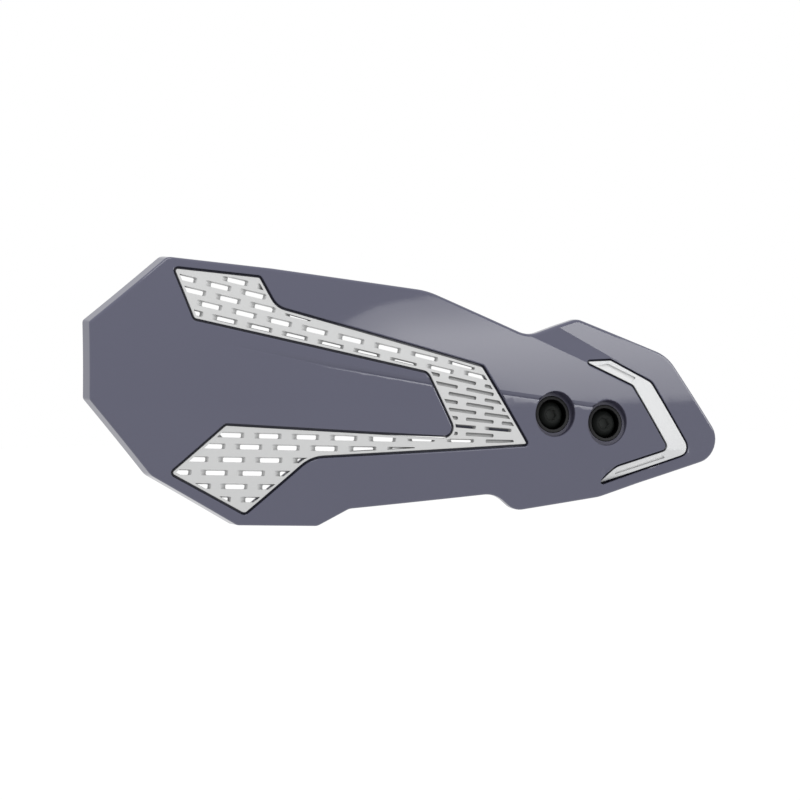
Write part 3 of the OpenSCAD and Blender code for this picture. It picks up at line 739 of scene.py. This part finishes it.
def mouldGrain():
    # fine surface unevenness of a moulding: a height and a slow tone change
    group, gin, gout = makeGroup("mouldGrain", [("Scale", 300.0)], ["Height", "Tone"])
    n, link = group.nodes, group.links.new
    coordinates = n.new("ShaderNodeTexCoord")
    fine = n.new("ShaderNodeTexNoise")
    fine.inputs["Detail"].default_value = grains["detail"]
    slow = n.new("ShaderNodeTexNoise")
    slow.inputs["Scale"].default_value = grains["slowScale"]
    slow.inputs["Detail"].default_value = grains["slowDetail"]
    link(coordinates.outputs["Object"], fine.inputs["Vector"])
    link(coordinates.outputs["Object"], slow.inputs["Vector"])
    link(gin.outputs["Scale"], fine.inputs["Scale"])
    link(fine.outputs["Fac"], gout.inputs["Height"])
    link(slow.outputs["Fac"], gout.inputs["Tone"])
    return group


def paintedGapShade():
    # painted shade: a mask from ambient occlusion for narrow gaps and deep seats, 1 in the open
    # and Least far inside
    inputs = [("Reach", gaps["reach"]), ("Least", 0.3)]
    group, gin, gout = makeGroup("paintedGapShade", inputs, ["Open"])
    n, link = group.nodes, group.links.new
    hidden = n.new("ShaderNodeAmbientOcclusion")
    hidden.samples = gaps["samples"]
    link(gin.outputs["Reach"], hidden.inputs["Distance"])
    ramp = n.new("ShaderNodeMapRange")
    ramp.inputs["From Min"].default_value = gaps["shut"]
    ramp.inputs["From Max"].default_value = gaps["open"]
    link(hidden.outputs["AO"], ramp.inputs["Value"])
    link(gin.outputs["Least"], ramp.inputs["To Min"])
    link(ramp.outputs["Result"], gout.inputs["Open"])
    return group


grainGroup, paintedGapShadeGroup = mouldGrain(), paintedGapShade()


def moulded(name, look):
    mat = bpy.data.materials.new(name)
    mat.use_nodes = True
    n, link = mat.node_tree.nodes, mat.node_tree.links.new
    bsdf = n["Principled BSDF"]
    bsdf.inputs["Roughness"].default_value = look["rough"]
    bsdf.inputs["Metallic"].default_value = look.get("metal", 0.0)
    grain = n.new("ShaderNodeGroup")
    grain.node_tree = grainGroup
    grain.inputs["Scale"].default_value = look["grain"]
    tone = n.new("ShaderNodeMix")
    tone.data_type = "RGBA"
    tone.inputs["A"].default_value = (*look["dark"], 1)
    tone.inputs["B"].default_value = (*look["light"], 1)
    link(grain.outputs["Tone"], tone.inputs["Factor"])
    if "gapPaintedShade" in look:            # painted shade: darker and duller in narrow gaps
        gap = n.new("ShaderNodeGroup")
        gap.node_tree = paintedGapShadeGroup
        gap.inputs["Least"].default_value = look["gapPaintedShade"]
        gap.inputs["Reach"].default_value = look.get("reach", gaps["reach"])
        shade = n.new("ShaderNodeMix")
        shade.data_type = "RGBA"
        shade.blend_type = "MULTIPLY"
        shade.inputs["Factor"].default_value = 1.0
        link(tone.outputs["Result"], shade.inputs["A"])
        link(gap.outputs["Open"], shade.inputs["B"])
        link(shade.outputs["Result"], bsdf.inputs["Base Color"])
        sheen = n.new("ShaderNodeMath")
        sheen.operation = "MULTIPLY"
        sheen.inputs[1].default_value = look.get("shine", 0.5)
        link(gap.outputs["Open"], sheen.inputs[0])
        link(sheen.outputs[0], bsdf.inputs["Specular IOR Level"])
    else:
        link(tone.outputs["Result"], bsdf.inputs["Base Color"])
        bsdf.inputs["Specular IOR Level"].default_value = look.get("shine", 0.5)
    spread = n.new("ShaderNodeMapRange")
    spread.inputs["To Min"].default_value = look["rough"] * grains["roughLeast"]
    spread.inputs["To Max"].default_value = look["rough"] * grains["roughMost"]
    link(grain.outputs["Tone"], spread.inputs["Value"])
    link(spread.outputs["Result"], bsdf.inputs["Roughness"])
    bump = n.new("ShaderNodeBump")
    bump.inputs["Strength"].default_value = look["bump"]
    bump.inputs["Distance"].default_value = grains["bumpHeight"]
    link(grain.outputs["Height"], bump.inputs["Height"])
    link(bump.outputs["Normal"], bsdf.inputs["Normal"])
    return mat


# The gap tone darkens a finish and dims its reflection in narrow gaps as painted shade.
finishes = {
    "shieldPlastic": {"dark": (0.115, 0.117, 0.176), "light": (0.122, 0.124, 0.186),
                      "rough": 0.055, "grain": 900, "bump": 0.03, "gapPaintedShade": 0.42, "reach": 0.006},
    # A darker, duller copy of the shield plastic on the bolt seats' walls: painted shade.
    "seatPaintedShade": {"dark": (0.05, 0.048, 0.076), "light": (0.056, 0.054, 0.084),
                    "rough": 0.35, "grain": 900, "bump": 0.03, "shine": 0.2},
    "insertPlastic": {"dark": (0.765, 0.77, 0.77), "light": (0.8, 0.805, 0.805),
                      "rough": 0.45, "grain": 1500, "bump": 0.08, "gapPaintedShade": 0.45},
    "trimPlastic": {"dark": (0.86, 0.87, 0.88), "light": (0.89, 0.9, 0.91),
                    "rough": 0.4, "grain": 1500, "bump": 0.08, "gapPaintedShade": 0.6, "reach": 0.002},
    # A lighter copy of the trim plastic on the recess floors: painted light.
    "recessPaintedLight": {"dark": (0.95, 0.955, 0.96), "light": (0.97, 0.975, 0.98),
                      "rough": 0.4, "grain": 1500, "bump": 0.05},
    "mountNylon": {"dark": (0.012, 0.012, 0.013), "light": (0.018, 0.018, 0.02),
                   "rough": 0.5, "grain": 1800, "bump": 0.35},
    "linerRubber": {"dark": (0.009, 0.009, 0.009), "light": (0.014, 0.014, 0.014),
                    "rough": 0.75, "grain": 1200, "bump": 0.3},
    "cupNylon": {"dark": (0.014, 0.014, 0.015), "light": (0.02, 0.02, 0.022),
                 "rough": 0.4, "grain": 1800, "bump": 0.1, "gapPaintedShade": 0.1, "shine": 0.12},
    "blackSteel": {"dark": (0.01, 0.0115, 0.0107), "light": (0.012, 0.0135, 0.0127),
                   "rough": 0.5, "grain": 2500, "bump": 0.08, "shine": 0.07},
    # A lighter copy of the black steel for the socket floors: painted light.
    "socketPaintedLight": {"dark": (0.07, 0.075, 0.072), "light": (0.08, 0.085, 0.082),
                    "rough": 0.6, "grain": 2500, "bump": 0.08, "shine": 0.05},
    "zincSteel": {"dark": (0.52, 0.53, 0.54), "light": (0.6, 0.61, 0.62),
                  "rough": 0.32, "metal": 1.0, "grain": 2200, "bump": 0.15},
}
mats = {name: moulded(name, look) for name, look in finishes.items()}


def dress(obj, *names):              # one material for each slot; the faces keep their slots
    slots = [face.material_index for face in obj.data.polygons]
    obj.data.materials.clear()
    for name in names:
        obj.data.materials.append(mats[name])
    if len(names) > 1:
        obj.data.polygons.foreach_set("material_index", slots)


shell = makeShell()
dress(shell, "shieldPlastic", "seatPaintedShade")
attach(shell, "root")
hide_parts("guard_shell")
print("shell", len(shell.data.polygons))

insert = makeInsert()
dress(insert, "insertPlastic")
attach(insert, "root")
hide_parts("vent_insert")
print("insert", len(insert.data.polygons))

trim = makeTrim()
dress(trim, "trimPlastic", "recessPaintedLight")
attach(trim, "root")
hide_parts("end_trim")
print("trim", len(trim.data.polygons))

# The other pieces are the solids' own meshes, with softened edges: width in mm, angles in degrees.
softening = {"width": 0.25, "segments": 2, "from": 35, "sharpFrom": 30}
carried = {
    "cupNylon": ["cup_outboard", "cup_inboard"],
    "blackSteel": ["shield_bolt_outboard", "shield_bolt_inboard", "clamp_bolt_upper",
                   "clamp_bolt_lower"],
    "zincSteel": ["shield_washer_outboard", "shield_washer_inboard", "shield_nut_outboard",
                  "shield_nut_inboard", "clamp_washer_upper", "clamp_washer_lower",
                  "clamp_nut_upper", "clamp_nut_lower"],
    "linerRubber": ["boss_pad", "bar_liner_front", "bar_liner_rear"],
    "mountNylon": ["mount_arm", "clamp_cap"],
}
for finish, names in carried.items():
    for nodeName in names:
        obj = nodes[nodeName]
        dress(obj, finish)
        obj.data.shade_smooth()
        obj.data.set_sharp_from_angle(angle=math.radians(softening["sharpFrom"]))
        soften = obj.modifiers.new("softEdges", "BEVEL")
        soften.width = softening["width"] * mm
        soften.segments = softening["segments"]
        soften.limit_method = "ANGLE"
        soften.angle_limit = math.radians(softening["from"])

# The floors of the shield bolts' sockets get a lighter copy of the black steel: painted light
# against the sockets' shade.
for nodeName, end in zip(("shield_bolt_outboard", "shield_bolt_inboard"), ends):
    obj = nodes[nodeName]
    dress(obj, "blackSteel", "socketPaintedLight")
    local = fixingMatrix(end).inverted() @ obj.matrix_world
    for face in obj.data.polygons:
        corners = [local @ obj.data.vertices[i].co for i in face.vertices]
        inSocket = all(corner.xy.length < fixing["socket"] * mm for corner in corners)
        face.material_index = int(inSocket)
    print(nodeName, sum(face.material_index for face in obj.data.polygons))
print("carried nodes dressed")

# Camera, lights and backdrop: degrees, metres and watts.
studio = {"turn": 22, "rise": 3, "distance": 2.5, "frameWidth": 0.2948, "film": 36, "clipEnd": 50,
          "topPlace": (-0.5, -0.5, 2.2), "topSize": (1.6, 1.2), "topPower": 16,
          "world": 0.68, "floorDown": 0.35, "floorHalf": 6.0, "floorTone": 0.85,
          "floorRough": 0.9, "floorGlow": 1.1, "floorWhite": 0.85}
# The card's corners are azimuth and elevation in degrees, seen from the part, upper edge first.
cardLook = {"corners": ((16, 8.9), (17.9, 10.5), (20.5, 12.6), (22.8, 13.4), (26, 13.7),
                        (32, 14.2), (40, 20), (66, 21), (70, -4), (31, -4)),
            "upperSides": 5, "far": 3.0, "glow": 6.1,
            "upperFades": 8, "upperEnds": (32, 38), "lowerFades": 3.5, "lowerCut": (-1, 1.2),
            "rimShare": 0.4, "lowShare": 0.5, "brightens": (-5, 9)}
aim = place(0, 0, 0)
turn, rise = math.radians(studio["turn"]), math.radians(studio["rise"])
forward = Vector((math.sin(turn) * math.cos(rise), math.cos(turn) * math.cos(rise),
                  -math.sin(rise)))
camData = bpy.data.cameras.new("photoCamera")
camData.sensor_width = studio["film"]
camData.lens = studio["film"] * studio["distance"] / studio["frameWidth"]
camData.clip_end = studio["clipEnd"]
cam = bpy.data.objects.new("photoCamera", camData)
cam.location = aim - forward * studio["distance"]
cam.rotation_euler = forward.to_track_quat("-Z", "Y").to_euler()
bpy.context.scene.collection.objects.link(cam)
bpy.context.scene.camera = cam

lampData = bpy.data.lights.new("topLamp", "AREA")
lampData.shape = "RECTANGLE"
lampData.size, lampData.size_y = studio["topSize"]
lampData.energy = studio["topPower"]
lamp = bpy.data.objects.new("topLamp", lampData)
lamp.location = Vector(studio["topPlace"])
lamp.rotation_euler = (aim - Vector(studio["topPlace"])).to_track_quat("-Z", "Y").to_euler()
bpy.context.scene.collection.objects.link(lamp)


def cardGlow(azimuth, rise):         # grows from the card's upper and lower edges inwards
    c, k = cardLook["corners"], cardLook
    upper = min(-leftOf(a, b, (azimuth, rise)) for a, b in list(zip(c, c[1:]))[:k["upperSides"]])
    upper += k["upperFades"] * smooth(*k["upperEnds"], azimuth)
    lower = leftOf(c[0], c[-1], (azimuth, rise))
    inwards = min(smooth(0, k["upperFades"], upper), smooth(0, k["lowerFades"], lower))
    height = smooth(*k["brightens"], rise)
    return (smooth(*k["lowerCut"], lower) * (k["rimShare"] + (1 - k["rimShare"]) * inwards)
            * (k["lowShare"] + (1 - k["lowShare"]) * height))


def lightCard():
    # a bright card, seen only in reflections
    flat, tris, _ = triangulate(counterClockwise(list(cardLook["corners"])), [], [],
                                fineness["card"])
    places = []
    for azimuth, rise in flat:
        a, r = math.radians(azimuth), math.radians(rise)
        towards = Vector((math.sin(a) * math.cos(r), -math.cos(a) * math.cos(r), math.sin(r)))
        places.append(aim + cardLook["far"] * towards)
    mesh = bpy.data.meshes.new("lightCard")
    mesh.from_pydata(places, [], tris)
    glow = mesh.attributes.new("glow", "FLOAT", "POINT")
    glow.data.foreach_set("value", [cardGlow(azimuth, rise) for azimuth, rise in flat])
    card = bpy.data.objects.new("lightCard", mesh)
    bpy.context.scene.collection.objects.link(card)
    mat = bpy.data.materials.new("cardGlow")
    mat.use_nodes = True
    n, link = mat.node_tree.nodes, mat.node_tree.links.new
    n.remove(n["Principled BSDF"])
    emit = n.new("ShaderNodeEmission")
    read = n.new("ShaderNodeAttribute")
    read.attribute_name = "glow"
    level = n.new("ShaderNodeMath")
    level.operation = "MULTIPLY_ADD"
    level.inputs[1].default_value = cardLook["glow"] - 1
    level.inputs[2].default_value = 1.0
    link(read.outputs["Fac"], level.inputs[0])
    link(level.outputs[0], emit.inputs["Strength"])
    link(emit.outputs["Emission"], n["Material Output"].inputs["Surface"])
    mesh.materials.append(mat)
    card.visible_camera = False
    card.visible_diffuse = False


def seenDirectly(tree):
    # 1 for rays from the camera, through clear pieces and in reflections, and 0 for all others
    n, link = tree.nodes, tree.links.new
    path = n.new("ShaderNodeLightPath")
    clear = n.new("ShaderNodeMath")
    clear.operation = "MAXIMUM"
    link(path.outputs["Is Camera Ray"], clear.inputs[0])
    link(path.outputs["Is Transmission Ray"], clear.inputs[1])
    seen = n.new("ShaderNodeMath")
    seen.operation = "MAXIMUM"
    link(clear.outputs[0], seen.inputs[0])
    link(path.outputs["Is Glossy Ray"], seen.inputs[1])
    return seen.outputs[0]


def whiteWorld():
    world = bpy.data.worlds.new("paleStudio")
    bpy.context.scene.world = world
    world.use_nodes = True
    n, link = world.node_tree.nodes, world.node_tree.links.new
    n["Background"].inputs["Color"].default_value = (1, 1, 1, 1)
    strength = n.new("ShaderNodeMapRange")
    strength.inputs["To Min"].default_value = studio["world"]
    strength.inputs["To Max"].default_value = 1.0
    link(seenDirectly(world.node_tree), strength.inputs["Value"])
    link(strength.outputs["Result"], n["Background"].inputs["Strength"])


def paleFloor():
    low, half = cadBox[0].z - studio["floorDown"], studio["floorHalf"]
    mesh = bpy.data.meshes.new("studioFloor")
    mesh.from_pydata([(-half, -half, low), (half, -half, low), (half, half, low),
                      (-half, half, low)], [], [(0, 1, 2, 3)])
    floor = bpy.data.objects.new("studioFloor", mesh)
    bpy.context.scene.collection.objects.link(floor)
    mat = bpy.data.materials.new("paleFloor")
    mat.use_nodes = True
    n, link = mat.node_tree.nodes, mat.node_tree.links.new
    bsdf = n["Principled BSDF"]
    bsdf.inputs["Base Color"].default_value = (*[studio["floorTone"]] * 3, 1)
    bsdf.inputs["Roughness"].default_value = studio["floorRough"]
    white = n.new("ShaderNodeEmission")
    white.inputs["Strength"].default_value = studio["floorGlow"]
    share = n.new("ShaderNodeMath")
    share.operation = "MULTIPLY"
    share.inputs[1].default_value = studio["floorWhite"]
    link(seenDirectly(mat.node_tree), share.inputs[0])
    mix = n.new("ShaderNodeMixShader")
    link(share.outputs[0], mix.inputs["Fac"])
    link(bsdf.outputs["BSDF"], mix.inputs[1])
    link(white.outputs["Emission"], mix.inputs[2])
    link(mix.outputs["Shader"], n["Material Output"].inputs["Surface"])
    mesh.materials.append(mat)


lightCard()
whiteWorld()
paleFloor()
print("stage set")

view = bpy.context.scene.view_settings
view.view_transform = "Standard"
